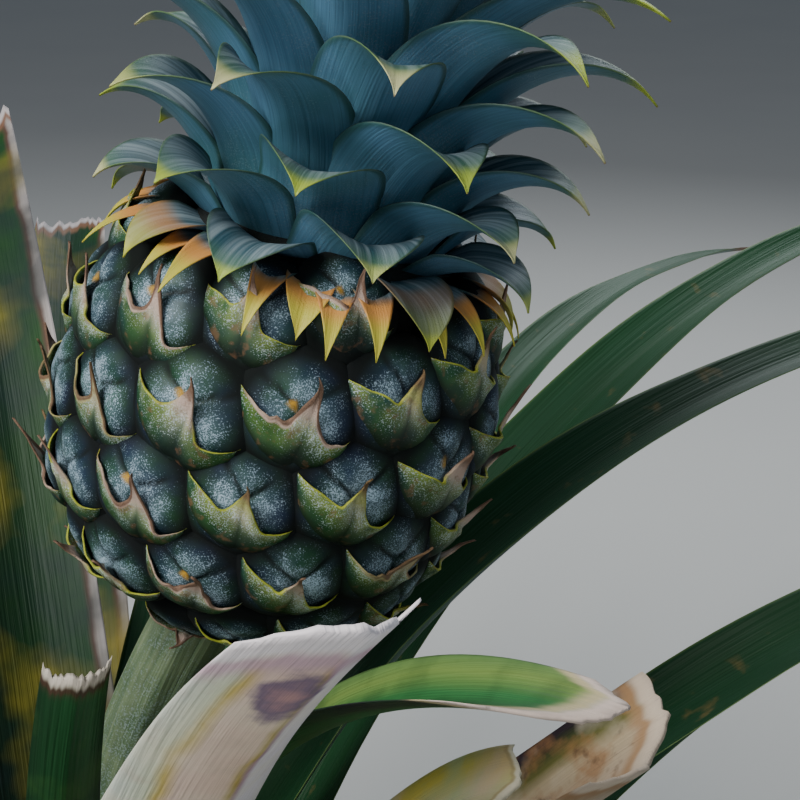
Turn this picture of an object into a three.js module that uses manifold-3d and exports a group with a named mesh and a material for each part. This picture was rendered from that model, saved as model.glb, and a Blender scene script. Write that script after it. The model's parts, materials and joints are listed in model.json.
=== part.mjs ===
// A pineapple plant rooted in level ground: a short leafy stem, one fruit leaning on its stalk, and the
// crown of leaves on the fruit. Several leaves beside the fruit are cut short, as on a tended plant.
// Millimetres, +Z up, with the origin at the middle of the stem's flat cut at ground level.

import * as THREE from 'three';
import { mergeVertices } from 'three/addons/utils/BufferGeometryUtils.js';
import Module from 'manifold-3d';

const wasm = await Module();
wasm.setup();

// Driving dimensions
const DEGREE = Math.PI / 180;
const CLEAR = 0.3; // gap between pieces that touch
const TURN = - 137.508 * DEGREE; // every next leaf up the plant, or up the crown, turns by the golden angle

const STEM_HEIGHT = 250;
const STEM_FOOT_RADIUS = 44;
const STEM_LOW_RADIUS = 33;
const STEM_TOP_RADIUS = 21;
const STEM_FLARE_HEIGHT = 26;
const STEM_RINGS = [ 0, 6, 14, 28, 60, 120, 180, 230, STEM_HEIGHT ]; // heights where the stem's slope changes
const ROUND_SIDES = 20; // of the stem and the rind
const SLIM_SIDES = 10; // of the stalk and the crown's core

const FRUIT_CENTRE = new THREE.Vector3( 72, 0, 477 );
const FRUIT_LEAN = 15.9 * DEGREE; // towards +X
const FRUIT_RADIUS = 60;
const FRUIT_HALF_LENGTH = 69;
const FRUIT_SQUARENESS = 2.355; // 2 would be an ellipse
const FRUIT_RINGS = 14;
const EYE_TURN = 96.5 * DEGREE; // from one fruitlet to the next up, which gives slanting rows of 4, 7 and 11
const EYE_RISE = 1.85; // along the fruit from one fruitlet to the next
const EYE_FIRST_HEIGHT = 20.5; // the fruitlet that faces the front, above the fruit's middle
const EYE_FIRST_AZIMUTH = - 85 * DEGREE;
const EYE_LOWEST = - 63; // along the fruit's axis from its middle
const EYE_HIGHEST = 52;
const EYE_WIDTH = 34; // from corner to corner of a six-sided fruitlet
const EYE_DEPTH = 8;
const EYE_ROOT = 4; // how far a fruitlet goes into the rind
const EYE_CORNER = - 15 * DEGREE; // the first corner, from the way round the fruit
const EYE_SHOULDER = new THREE.Vector2( 0.62, 0.72 ); // parts of half the width and of the depth
const THORN_RADIUS = 5;
const THORN_LENGTH = 22;
const THORN_FLATNESS = 0.5;
const THORN_TILT = 12 * DEGREE;
const THORN_RISE = 0.72; // of the fruitlet's depth

const STALK_TOP_RADIUS = 14;
const STALK_FOOT_RADIUS = 11;
const STALK_SEAT = 8; // the stalk's end is cut to the fruit's foot over this length
const STALK_BEND = 0.52; // where along its height the stalk leaves the plant's axis
const STALK_STEPS = 10;

const CROWN_LEAVES = 62;
const CROWN_BEND = 2.2; // how late a crown leaf bends outward
const CROWN_FIRST_AZIMUTH = - 90 * DEGREE;
// Pairs: height along the fruit's axis and the core's radius there
const CROWN_CORE = [ [ 52, 38 ], [ 56, 37 ], [ 61, 31 ], [ 68, 25 ], [ 90, 14 ], [ 112, 7 ], [ 124, 0 ] ];
// Pairs: leaf number and its foot's height, its tip's place, its first angle and its width
const CROWN_FOOT = [ [ 0, 54 ], [ 13, 56 ], [ 26, 61 ], [ 40, 68 ], [ 61, 104 ] ];
const CROWN_TIP_OUT = [ [ 0, 62 ], [ 6, 68 ], [ 14, 72 ], [ 26, 78 ], [ 40, 92 ], [ 61, 48 ] ];
const CROWN_TIP_UP = [ [ 0, 40 ], [ 6, 46 ], [ 14, 65 ], [ 26, 91 ], [ 40, 127 ], [ 61, 214 ] ];
const CROWN_START = [ [ 0, 88 ], [ 5, 78 ], [ 13, 48 ], [ 26, 22 ], [ 40, 13 ], [ 61, 3 ] ];
const CROWN_WIDTH = [ [ 0, 16 ], [ 5, 28 ], [ 13, 42 ], [ 26, 50 ], [ 44, 44 ], [ 61, 26 ] ];
const CROWN_SINK = 3; // how far a leaf's foot goes into the core
const CROWN_CHANNEL = 0.3;
const CROWN_TAPER = [ 5, 2 ];
const CROWN_SWELL = [ 0.8, 0.3 ]; // part of the width at the foot, and what is added towards the tip
const CROWN_THICK = 2.2;
const CROWN_REACH = 0.97;
const CROWN_ROWS = 4; // faces along a crown leaf
const CROWN_COLUMNS = 2;

const LEAF_COUNT = 38;
const LEAF_LOWEST = 34;
const LEAF_HIGHEST = 236;
const LEAF_WIDTH = 52;
const LEAF_SEAT = 1.7; // from the stem's corners to a blade's foot, whose faceted arc dips towards the stem
const LEAF_FIRST_AZIMUTH = 20; // degrees, as the other angles of the rosette
const LEAF_STARTS = [ 62, 16 ]; // angle from the stem at the foot, of the lowest and the youngest leaf
const LEAF_ENDS = [ 106, 92 ];
const LEAF_EASE = 0.8; // how soon up the stem the leaves turn steeper
const LEAF_LENGTHS = [ 360, 300, 90 ]; // the lowest leaf's, what the middle ones add, and the youngest
const LEAF_SWAY = 7;
const LEAF_CHANNEL = 0.4;
const LEAF_WHOLE = 0.985; // the part of its length that an untrimmed leaf reaches
const LEAF_SHEATH = 45; // length of the wide foot
const LEAF_SHEATH_FLARE = 0.3;
const LEAF_TAPER = [ 1.8, 0.9 ]; // powers that set how late and how bluntly a leaf narrows
const LEAF_LEAST_THICK = 4;
const LEAF_SLENDERNESS = 98; // most length for each millimetre of thickness
const LEAF_ROWS = 6; // faces along a rosette leaf
const LEAF_COLUMNS = 4;
const CUT_REACH = 0.9; // below this, a leaf counts as cut
// Leaves that were trimmed, or that lie another way than the rule says: reach is the part of the length
// that is left, and bend is how late the leaf bends
const TENDED = {
	24: { azimuth: 102, length: 900, end: 118, reach: 0.55 },
	25: {
		azimuth: - 17, sweep: 6, start: 35, end: 177, bend: 3.4,
		length: 559, reach: 0.5, width: 76, dry: true,
	},
	28: { azimuth: - 82.7, sweep: - 49.9, start: 31, end: 17, length: 508, reach: 0.558, width: 48 },
	30: { azimuth: - 33.6, sweep: - 25.6, start: 29, end: 186, bend: 3.3, length: 464, reach: 0.6, width: 56 },
	33: { azimuth: - 63.4, sweep: 4.4, start: 21, end: 63.7, length: 583, reach: 0.584, width: 64 },
	35: { azimuth: 23, end: 100 },
	36: { azimuth: - 87, sweep: 60, start: 18, end: 5, bend: 1.8, length: 458, reach: 0.464, width: 26 },
	37: { length: 900, end: 134, reach: 0.455 },
	38: { azimuth: - 42.8, sweep: 7, start: 16, end: 170, bend: 1.76, length: 458, reach: 0.641, width: 42 },
};
const WRAP_MOST = 40 * DEGREE; // a blade's foot reaches this far round the stem to each side
const EDGE_THINNING = 0.7; // part of a blade's thickness that is gone at its edges
const TIP_THINNING = 0.6;
const CHANNEL_START = 3; // a blade is flat at its foot and fully channelled from 1 / 3 of its length
const BEND_STEPS = 16; // straight stretches that a blade's middle line is added up from

// Materials

function finish( color, roughness ) {

	return new THREE.MeshStandardMaterial( { color, roughness, metalness: 0, flatShading: true } );

}

const STEM_BARK = finish( 0x6b5a3c, 0.85 );
const STALK_GREEN = finish( 0x8ea36a, 0.6 );
const FRUIT_RIND = finish( 0x3f5a4a, 0.55 );
const CROWN_BLUE = finish( 0x3c5560, 0.5 );
const LEAF_GREEN = finish( 0x2f5130, 0.5 );
const LEAF_CUT = finish( 0xb9b48a, 0.65 );
const LEAF_DRY = finish( 0xb08a5c, 0.8 );

// Solids and meshes

function solidOf( geometry ) {

	const plain = geometry.clone();
	plain.deleteAttribute( 'normal' );
	plain.deleteAttribute( 'uv' );
	const merged = mergeVertices( plain, 1e-3 );
	return new wasm.Manifold( new wasm.Mesh( {
		numProp: 3,
		vertProperties: new Float32Array( merged.attributes.position.array ),
		triVerts: new Uint32Array( merged.index.array ),
	} ) );

}

function geometryOf( solid ) {

	const mesh = solid.getMesh();
	const geometry = new THREE.BufferGeometry();
	geometry.setAttribute( 'position', new THREE.BufferAttribute( mesh.vertProperties, 3 ) );
	geometry.setIndex( new THREE.BufferAttribute( mesh.triVerts, 1 ) );
	geometry.computeVertexNormals();
	return geometry;

}

// The one outer body of a solid: sealed hollows are filled and loose scraps dropped
function mainBody( solid ) {

	return solid.decompose().reduce( ( best, body ) => body.volume() > best.volume() ? body : best );

}

// Joins solids in pairs
function fuse( solids ) {

	let row = solids;
	while ( row.length > 1 ) {

		const next = [];
		for ( let i = 0; i < row.length; i += 2 ) {

			next.push( i + 1 < row.length ? row[ i ].add( row[ i + 1 ] ) : row[ i ] );

		}

		row = next;

	}

	return mainBody( row[ 0 ] );

}

function named( name, geometry, material ) {

	const mesh = new THREE.Mesh( geometry, material );
	mesh.name = name;
	return mesh;

}

// Blades: a leaf is a thin closed slab on a surface that turns about the plant's or the crown's axis

// The blade's middle line, out from the axis and up along it, bending outward towards the tip
function middleLine( leaf, t ) {

	const step = leaf.length * t / BEND_STEPS;
	let out = leaf.out;
	let up = leaf.up;
	for ( let i = 0; i < BEND_STEPS; i ++ ) {

		const part = ( i + 0.5 ) / BEND_STEPS * t;
		const angle = leaf.start + ( leaf.end - leaf.start ) * part ** leaf.bend;
		out += Math.sin( angle ) * step;
		up += Math.cos( angle ) * step;

	}

	return { out, up, angle: leaf.start + ( leaf.end - leaf.start ) * t ** leaf.bend };

}

// A point of the blade: across runs from -1 to 1 over its width, below is the depth under its upper face
function bladePoint( leaf, t, across, below ) {

	const { out, up, angle } = middleLine( leaf, t );
	const half = leaf.outline( t ) * leaf.width / 2;
	const fold = 0.5 * ( Math.abs( across ) + across * across );
	const lift = leaf.channel * half * fold * Math.min( 1, t * CHANNEL_START ) - below;
	const wrap = Math.max( - WRAP_MOST, Math.min( WRAP_MOST, across * half / out ) );
	const turn = leaf.azimuth + leaf.sweep * t * t + wrap;
	const radius = out - lift * Math.cos( angle );
	const height = up + lift * Math.sin( angle );
	return new THREE.Vector3( radius * Math.cos( turn ), radius * Math.sin( turn ), height );

}

function bladeGeometry( leaf, along, acrossCount ) {

	const points = [];
	const faces = [];
	const at = ( row, column, side ) => ( row * ( acrossCount + 1 ) + column ) * 2 + side;
	for ( let row = 0; row <= along; row ++ ) {

		const t = row / along * leaf.reach;
		for ( let column = 0; column <= acrossCount; column ++ ) {

			const across = 2 * column / acrossCount - 1;
			const thick = leaf.thick * ( 1 - EDGE_THINNING * across * across ) * ( 1 - TIP_THINNING * t );
			points.push( bladePoint( leaf, t, across, 0 ), bladePoint( leaf, t, across, thick ) );

		}

	}

	const quad = ( a, b, c, d ) => faces.push( a, c, b, a, d, c );
	for ( let row = 0; row < along; row ++ ) {

		for ( let column = 0; column < acrossCount; column ++ ) {

			quad( at( row, column, 0 ), at( row, column + 1, 0 ),
				at( row + 1, column + 1, 0 ), at( row + 1, column, 0 ) );
			quad( at( row, column, 1 ), at( row + 1, column, 1 ),
				at( row + 1, column + 1, 1 ), at( row, column + 1, 1 ) );

		}

		quad( at( row, 0, 0 ), at( row + 1, 0, 0 ), at( row + 1, 0, 1 ), at( row, 0, 1 ) );
		quad( at( row, acrossCount, 0 ), at( row, acrossCount, 1 ),
			at( row + 1, acrossCount, 1 ), at( row + 1, acrossCount, 0 ) );

	}

	for ( let column = 0; column < acrossCount; column ++ ) {

		quad( at( 0, column, 0 ), at( 0, column, 1 ), at( 0, column + 1, 1 ), at( 0, column + 1, 0 ) );
		quad( at( along, column, 0 ), at( along, column + 1, 0 ),
			at( along, column + 1, 1 ), at( along, column, 1 ) );

	}

	const geometry = new THREE.BufferGeometry().setFromPoints( points );
	geometry.setIndex( faces );
	return geometry;

}

// Stem, turned about the Z axis, with a flare at the ground

function stemRadius( z ) {

	const taper = STEM_LOW_RADIUS + ( STEM_TOP_RADIUS - STEM_LOW_RADIUS ) * z / STEM_HEIGHT;
	const flare = ( STEM_FOOT_RADIUS - STEM_LOW_RADIUS ) * Math.exp( - z / STEM_FLARE_HEIGHT * 2 );
	return taper + flare;

}

function makeStem() {

	const profile = [ new THREE.Vector2( 0, 0 ) ];
	for ( const z of STEM_RINGS ) profile.push( new THREE.Vector2( stemRadius( z ), z ) );
	profile.push( new THREE.Vector2( 0, STEM_HEIGHT ) );
	const geometry = new THREE.LatheGeometry( profile, ROUND_SIDES );
	geometry.rotateX( Math.PI / 2 );
	return named( 'stem', geometry, STEM_BARK );

}

// Fruit, in its own frame with Z along its axis and the middle at the origin

const fruitPlace = new THREE.Matrix4().makeRotationY( FRUIT_LEAN ).setPosition( FRUIT_CENTRE );

function fruitRadius( z ) {

	const part = Math.abs( z / FRUIT_HALF_LENGTH ) ** FRUIT_SQUARENESS;
	return FRUIT_RADIUS * Math.max( 0, 1 - part ) ** ( 1 / FRUIT_SQUARENESS );

}

// The place of one fruitlet: on the rind, with Z out of the rind and Y towards the crown
function eyePlace( index ) {

	const z = EYE_FIRST_HEIGHT + index * EYE_RISE;
	const azimuth = EYE_FIRST_AZIMUTH + index * EYE_TURN;
	const slope = fruitRadius( z + 0.5 ) - fruitRadius( z - 0.5 );
	const around = new THREE.Vector3( - Math.sin( azimuth ), Math.cos( azimuth ), 0 );
	const outward = new THREE.Vector3( Math.cos( azimuth ), Math.sin( azimuth ), 0 );
	const normal = outward.clone().add( new THREE.Vector3( 0, 0, - slope ) ).normalize();
	const upward = normal.clone().cross( around );
	const centre = outward.multiplyScalar( fruitRadius( z ) ).setZ( z );
	return new THREE.Matrix4().makeBasis( around, upward, normal ).setPosition( centre );

}

// A low six-sided dome on the rind
function eyeSolid( place ) {

	const profile = [
		new THREE.Vector2( 0, - EYE_ROOT ),
		new THREE.Vector2( EYE_WIDTH / 2, - EYE_ROOT ),
		new THREE.Vector2( EYE_WIDTH / 2 * EYE_SHOULDER.x, EYE_DEPTH * EYE_SHOULDER.y ),
		new THREE.Vector2( 0, EYE_DEPTH ),
	];
	const dome = new THREE.LatheGeometry( profile, 6 );
	dome.rotateX( Math.PI / 2 );
	dome.rotateZ( EYE_CORNER );
	return solidOf( dome.applyMatrix4( place ) );

}

// The thorn of the bract over a fruitlet
function thornSolid( place ) {

	const thorn = new THREE.ConeGeometry( THORN_RADIUS, THORN_LENGTH, 3 );
	thorn.scale( 1, 1, THORN_FLATNESS );
	thorn.rotateX( THORN_TILT );
	thorn.translate( 0, 0, EYE_DEPTH * THORN_RISE );
	return solidOf( thorn.applyMatrix4( place ) );

}

// The rind, the fruitlets and their thorny bracts as one solid, in the fruit's frame
function fruitSolid() {

	const profile = [ new THREE.Vector2( 0, - FRUIT_HALF_LENGTH ) ];
	for ( let ring = 1; ring < FRUIT_RINGS; ring ++ ) {

		const z = - FRUIT_HALF_LENGTH * Math.cos( Math.PI * ring / FRUIT_RINGS );
		profile.push( new THREE.Vector2( fruitRadius( z ), z ) );

	}

	profile.push( new THREE.Vector2( 0, FRUIT_HALF_LENGTH ) );
	const core = new THREE.LatheGeometry( profile, ROUND_SIDES );
	core.rotateX( Math.PI / 2 );
	const solids = [ solidOf( core ) ];
	const lowest = Math.ceil( ( EYE_LOWEST - EYE_FIRST_HEIGHT ) / EYE_RISE );
	const highest = Math.floor( ( EYE_HIGHEST - EYE_FIRST_HEIGHT ) / EYE_RISE );
	for ( let index = lowest; index <= highest; index ++ ) {

		const place = eyePlace( index );
		solids.push( eyeSolid( place ), thornSolid( place ) );

	}

	return fuse( solids );

}

// What is left of a solid in the fruit's frame once a slightly larger fruit is cut from it
function clearOfFruit( solid, fruit ) {

	const spare = 1 + 2 * CLEAR / FRUIT_RADIUS;
	return mainBody( solid.subtract( fruit.scale( [ spare, spare, spare ] ) ) );

}

// Stalk, from the stem's top to the fruit's foot, bending over towards +X

function makeStalk( fruit ) {

	const foot = new THREE.Vector3( 0, 0, STEM_HEIGHT + CLEAR );
	const head = new THREE.Vector3( 0, 0, - FRUIT_HALF_LENGTH + STALK_SEAT ).applyMatrix4( fruitPlace );
	const middle = new THREE.Vector3( 0, 0, foot.z + ( head.z - foot.z ) * STALK_BEND );
	const path = new THREE.QuadraticBezierCurve3( foot, middle, head );
	const sides = SLIM_SIDES;
	const profile = [];
	for ( let step = 0; step <= STALK_STEPS; step ++ ) {

		const t = step / STALK_STEPS;
		const radius = STALK_FOOT_RADIUS + ( STALK_TOP_RADIUS - STALK_FOOT_RADIUS ) * t ** 3;
		profile.push( { centre: path.getPoint( t ), along: path.getTangent( t ), radius } );

	}

	const points = [];
	for ( const { centre, along, radius } of profile ) {

		const side = new THREE.Vector3( 0, 1, 0 );
		const front = side.clone().cross( along ).normalize();
		for ( let i = 0; i < sides; i ++ ) {

			const angle = 2 * Math.PI * i / sides;
			points.push( centre.clone().addScaledVector( front, radius * Math.cos( angle ) )
				.addScaledVector( side, radius * Math.sin( angle ) ) );

		}

	}

	const faces = [];
	for ( let step = 0; step < STALK_STEPS; step ++ ) {

		for ( let i = 0; i < sides; i ++ ) {

			const a = step * sides + i;
			const b = step * sides + ( i + 1 ) % sides;
			faces.push( a, b, b + sides, a, b + sides, a + sides );

		}

	}

	const last = STALK_STEPS * sides;
	for ( let i = 1; i < sides - 1; i ++ ) {

		faces.push( 0, i + 1, i );
		faces.push( last, last + i, last + i + 1 );

	}

	const geometry = new THREE.BufferGeometry().setFromPoints( points );
	geometry.setIndex( faces );
	geometry.applyMatrix4( fruitPlace.clone().invert() );
	const seated = geometryOf( clearOfFruit( solidOf( geometry ), fruit ) );
	return named( 'stalk', seated.applyMatrix4( fruitPlace ), STALK_GREEN );

}

// Crown: leaves fused to a short tapering core, in the fruit's frame

// The value at a place along straight stretches between [ place, value ] pairs
function along( pairs, place ) {

	const found = pairs.findIndex( ( pair ) => pair[ 0 ] >= place );
	const next = THREE.MathUtils.clamp( found, 1, pairs.length - 1 );
	const [ fromPlace, fromValue ] = pairs[ next - 1 ];
	const [ toPlace, toValue ] = pairs[ next ];
	return THREE.MathUtils.mapLinear( place, fromPlace, toPlace, fromValue, toValue );

}

function crownLeaf( index ) {

	const footUp = along( CROWN_FOOT, index );
	const foot = new THREE.Vector2( along( CROWN_CORE, footUp ) - CROWN_SINK, footUp );
	const tip = new THREE.Vector2( along( CROWN_TIP_OUT, index ), along( CROWN_TIP_UP, index ) );
	const span = tip.clone().sub( foot );
	const start = along( CROWN_START, index ) * DEGREE;
	const end = start + ( CROWN_BEND + 1 ) * ( Math.atan2( span.x, span.y ) - start );
	const straight = { out: 0, up: 0, start, end, bend: CROWN_BEND, length: 1 };
	const [ late, blunt ] = CROWN_TAPER;
	const [ swell, widening ] = CROWN_SWELL;
	const reached = middleLine( straight, 1 );
	return {
		...straight,
		azimuth: CROWN_FIRST_AZIMUTH + index * TURN,
		out: foot.x,
		up: foot.y,
		length: span.length() / Math.hypot( reached.out, reached.up ),
		width: along( CROWN_WIDTH, index ),
		outline: ( t ) => ( 1 - t ** late ) ** blunt * ( swell + widening * t ),
		channel: CROWN_CHANNEL,
		thick: CROWN_THICK,
		sweep: 0,
		reach: CROWN_REACH,
	};

}

function makeCrown( fruit ) {

	const profile = CROWN_CORE.map( ( [ up, out ] ) => new THREE.Vector2( out, up ) );
	const core = new THREE.LatheGeometry( [ new THREE.Vector2( 0, profile[ 0 ].y ), ...profile ], SLIM_SIDES );
	core.rotateX( Math.PI / 2 );
	const solids = [ solidOf( core ) ];
	for ( let index = 0; index < CROWN_LEAVES; index ++ ) {

		solids.push( solidOf( bladeGeometry( crownLeaf( index ), CROWN_ROWS, CROWN_COLUMNS ) ) );

	}

	const geometry = geometryOf( clearOfFruit( fuse( solids ), fruit ) );
	geometry.applyMatrix4( fruitPlace );
	return named( 'crown', geometry, CROWN_BLUE );

}

// Leaves of the rosette, from the lowest to the youngest under the stalk

function rosetteLeaf( number ) {

	const part = ( number - 1 ) / ( LEAF_COUNT - 1 );
	const up = THREE.MathUtils.lerp( LEAF_LOWEST, LEAF_HIGHEST, part );
	const [ lowestLength, middleLength, youngestLength ] = LEAF_LENGTHS;
	const own = {
		azimuth: LEAF_FIRST_AZIMUTH + ( number - 1 ) * TURN / DEGREE,
		start: THREE.MathUtils.lerp( ...LEAF_STARTS, part ** LEAF_EASE ),
		end: THREE.MathUtils.lerp( ...LEAF_ENDS, part ),
		bend: 1,
		length: lowestLength + middleLength * Math.sin( Math.PI * part ** LEAF_EASE ) ** LEAF_EASE
			+ youngestLength * part,
		sweep: LEAF_SWAY * Math.sin( number * TURN ),
		width: LEAF_WIDTH,
		reach: LEAF_WHOLE,
		...TENDED[ number ],
	};
	const [ late, blunt ] = LEAF_TAPER;
	const sheath = ( t ) => 1 + LEAF_SHEATH_FLARE * Math.exp( - ( ( t * own.length / LEAF_SHEATH ) ** 2 ) );
	return {
		...own,
		azimuth: own.azimuth * DEGREE,
		start: own.start * DEGREE,
		end: own.end * DEGREE,
		sweep: own.sweep * DEGREE,
		out: stemRadius( up ) + LEAF_SEAT,
		up,
		outline: ( t ) => ( 1 - t ** late ) ** blunt * sheath( t ),
		channel: LEAF_CHANNEL,
		thick: Math.max( LEAF_LEAST_THICK, own.length * own.reach / LEAF_SLENDERNESS ),
	};

}

function leafMaterial( leaf ) {

	if ( leaf.dry ) return LEAF_DRY;
	return leaf.reach < CUT_REACH ? LEAF_CUT : LEAF_GREEN;

}

function makeLeaves() {

	const leaves = [];
	for ( let number = 1; number <= LEAF_COUNT; number ++ ) {

		const leaf = rosetteLeaf( number );
		const name = 'leaf_' + String( number ).padStart( 2, '0' );
		leaves.push( named( name, bladeGeometry( leaf, LEAF_ROWS, LEAF_COLUMNS ), leafMaterial( leaf ) ) );

	}

	return leaves;

}

const plant = new THREE.Group();
plant.name = 'pineapple_plant';
const fruit = fruitSolid();
const fruitMesh = named( 'fruit', geometryOf( fruit ).applyMatrix4( fruitPlace ), FRUIT_RIND );
plant.add( makeStem(), makeStalk( fruit ), fruitMesh, makeCrown( fruit ), ...makeLeaves() );

export default plant;
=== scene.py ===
# A pineapple plant: its stem, stalk, fruit, crown and leaves, with their finished surfaces.
# Metres, +Z up, with the origin at the middle of the stem's cut at ground level.

import json
import math
import random
from types import SimpleNamespace

import bpy
import numpy as np
from mathutils import Matrix, Vector

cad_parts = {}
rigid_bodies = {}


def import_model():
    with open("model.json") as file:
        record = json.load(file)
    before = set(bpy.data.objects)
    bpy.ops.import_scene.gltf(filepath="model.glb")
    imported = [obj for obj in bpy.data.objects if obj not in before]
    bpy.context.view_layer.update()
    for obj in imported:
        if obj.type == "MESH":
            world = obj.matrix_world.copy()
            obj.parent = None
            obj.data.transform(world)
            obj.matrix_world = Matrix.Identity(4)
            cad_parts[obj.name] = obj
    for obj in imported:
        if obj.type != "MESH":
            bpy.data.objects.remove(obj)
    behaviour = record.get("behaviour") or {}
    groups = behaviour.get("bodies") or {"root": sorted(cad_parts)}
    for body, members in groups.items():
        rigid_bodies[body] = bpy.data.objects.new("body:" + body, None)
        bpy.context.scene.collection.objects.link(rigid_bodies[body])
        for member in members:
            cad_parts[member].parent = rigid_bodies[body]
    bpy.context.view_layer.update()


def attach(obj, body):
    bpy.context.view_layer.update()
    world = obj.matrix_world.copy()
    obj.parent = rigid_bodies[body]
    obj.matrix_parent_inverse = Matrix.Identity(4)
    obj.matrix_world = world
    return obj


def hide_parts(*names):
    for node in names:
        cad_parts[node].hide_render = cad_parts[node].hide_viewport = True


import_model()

MM = 0.001
DEGREE = math.pi / 180
TURN = -137.508 * DEGREE  # every next leaf up the plant, or up the crown, turns by the golden angle
BODY = "root"
UV_MAP = "surface"

# Stem, stalk and fruit, by the rule of the part's source
STEM_HEIGHT = 250 * MM
STEM_FOOT_RADIUS = 44 * MM
STEM_LOW_RADIUS = 33 * MM
STEM_TOP_RADIUS = 21 * MM
STEM_FLARE_HEIGHT = 26 * MM
SCAR_DEPTH = 1.2 * MM  # of the spiral that the fallen leaves leave on the stem

FRUIT_CENTRE = Vector((72 * MM, 0, 477 * MM))
FRUIT_LEAN = 15.9 * DEGREE
FRUIT_RADIUS = 60 * MM
FRUIT_HALF_LENGTH = 69 * MM
FRUIT_SQUARENESS = 2.355
EYE_TURN = 96.5 * DEGREE  # from one fruitlet to the next, which gives slanting rows of 4, 7 and 11
EYE_RISE = 1.85 * MM
EYE_FIRST_HEIGHT = 20.5 * MM
EYE_FIRST_AZIMUTH = -85 * DEGREE
EYE_NEIGHBOURS = (4, 11, 15)  # steps up the spiral to the fruitlets beside and above
EYE_SQUARENESS = 5  # of the six-sided cell that each fruitlet fills
EYE_FLARE = 1.09  # how much wider the cells are where the fruitlets meet than on the rind
EYE_SPREAD = 1.28  # the fruitlet's edge, where its neighbour's middle is at 2
EYE_DEPTH = 8.6 * MM
EYE_DOME = (2.3, 0.62)  # powers that set how flat a fruitlet's top and how steep its side is
EYE_SHAPES = 7  # different fruitlets, and as many different bracts
BRACT_HALF_WIDTH = 16.8 * MM  # from the middle to the corners at the sides
BRACT_CORNER_RISE = 4.8 * MM
BRACT_HEIGHT = 17.9 * MM  # from the line between its corners down to its foot
WITHERED_BRACTS = (2, 5)
EYE_LOWEST = -63 * MM
EYE_HIGHEST = 52 * MM
EYE_SEED = 5
EYE_ROUGHNESS = 1.4 * MM  # how unevenly fruitlets and bracts are made
BRACT_ROUGHNESS = 1.8 * MM

STALK_FOOT_RADIUS = 11 * MM
STALK_TOP_RADIUS = 14 * MM
STALK_SEAT = 8 * MM
STALK_BEND = 0.52
STALK_FLUTES = 9
STALK_FLUTING = 0.035  # of its radius

# Crown, by the rule of the part's source. Its tables are pairs of a place and the value there
CROWN_LEAVES = 62
CROWN_FIRST_AZIMUTH = -90 * DEGREE
CROWN_BEND = 2.2
CROWN_CORE = ((52, 38), (56, 37), (61, 31), (68, 25), (90, 14), (112, 7), (124, 0))
CROWN_FOOT = ((0, 54), (13, 56), (26, 61), (40, 68), (61, 104))
CROWN_TIP_OUT = ((0, 62), (6, 68), (14, 72), (26, 78), (40, 92), (61, 48))
CROWN_TIP_UP = ((0, 40), (6, 46), (14, 65), (26, 91), (40, 127), (61, 214))
CROWN_START = ((0, 88), (5, 78), (13, 48), (26, 22), (40, 13), (61, 3))
CROWN_WIDTH = ((0, 16), (5, 28), (13, 42), (26, 50), (44, 44), (61, 26))
CROWN_SINK = 3 * MM
CROWN_CHANNEL = 0.3
CROWN_TAPER = (4.1, 2)
CROWN_SWELL = (0.8, 0.3)
CROWN_FLESH = 1.8 * MM  # thickness in the middle of a leaf's foot
CROWN_RIPE = 7  # the leaves below this one are the more orange and yellow, the lower they are
CROWN_TIERS = {"low": range(0, 20), "middle": range(20, 42), "top": range(42, CROWN_LEAVES)}
SHOULDER_LEAVES = 21  # short drooping leaves that carry the rule on below the crown's first leaf
SHOULDER_OUT = 38 * MM
SHOULDER_UP = 54 * MM
SHOULDER_DROP = 0.12 * MM  # from one to the next
SHOULDER_START = 72 * DEGREE
SHOULDER_TAPER = (1.3, 1.25)

# Leaves of the rosette, by the rule of the part's source
LEAF_COUNT = 38
LEAF_LOWEST = 34 * MM
LEAF_HIGHEST = 236 * MM
LEAF_WIDTH = 52 * MM
LEAF_SEAT = 1.7 * MM
LEAF_FIRST_AZIMUTH = 20  # degrees, as the other angles of the rosette
LEAF_STARTS = (62, 16)  # angle from the stem at the foot, of the lowest and the youngest leaf
LEAF_ENDS = (106, 92)
LEAF_EASE = 0.8  # how soon up the stem the leaves turn steeper
LEAF_LENGTHS = (360, 300, 90)  # millimetres: the lowest leaf's, what the middle ones add, and the youngest
LEAF_SWAY = 7
LEAF_CHANNEL = 0.4
LEAF_TAPER = (1.8, 0.9)
LEAF_SHEATH = 45 * MM
LEAF_SHEATH_FLARE = 0.3
LEAF_FLESH = 3 * MM
LEAF_WAVES = (45 * MM, 21 * MM)  # lengths of the two waves that run along the margins
LEAF_WAVE_HEIGHT = 1 * MM
DRY_WAVE_HEIGHT = 3 * MM
CUT_REACH = 0.9  # below this, a leaf counts as cut
TENDED = {
    24: dict(azimuth=102, length=900, end=118, reach=0.55),
    25: dict(azimuth=-17, sweep=6, start=35, end=177, bend=3.4, length=559, reach=0.5, width=76),
    28: dict(azimuth=-82.7, sweep=-49.9, start=31, end=17, length=508, reach=0.558, width=48),
    30: dict(azimuth=-33.6, sweep=-25.6, start=29, end=186, bend=3.3, length=464, reach=0.6, width=56),
    33: dict(azimuth=-63.4, sweep=4.4, start=21, end=63.7, length=583, reach=0.584, width=64),
    35: dict(azimuth=23, end=100),
    36: dict(azimuth=-87, sweep=60, start=18, end=5, bend=1.8, length=458, reach=0.464, width=26),
    37: dict(length=900, end=134, reach=0.455),
    38: dict(azimuth=-42.8, sweep=7, start=16, end=170, bend=1.76, length=458, reach=0.641, width=42),
}
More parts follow.
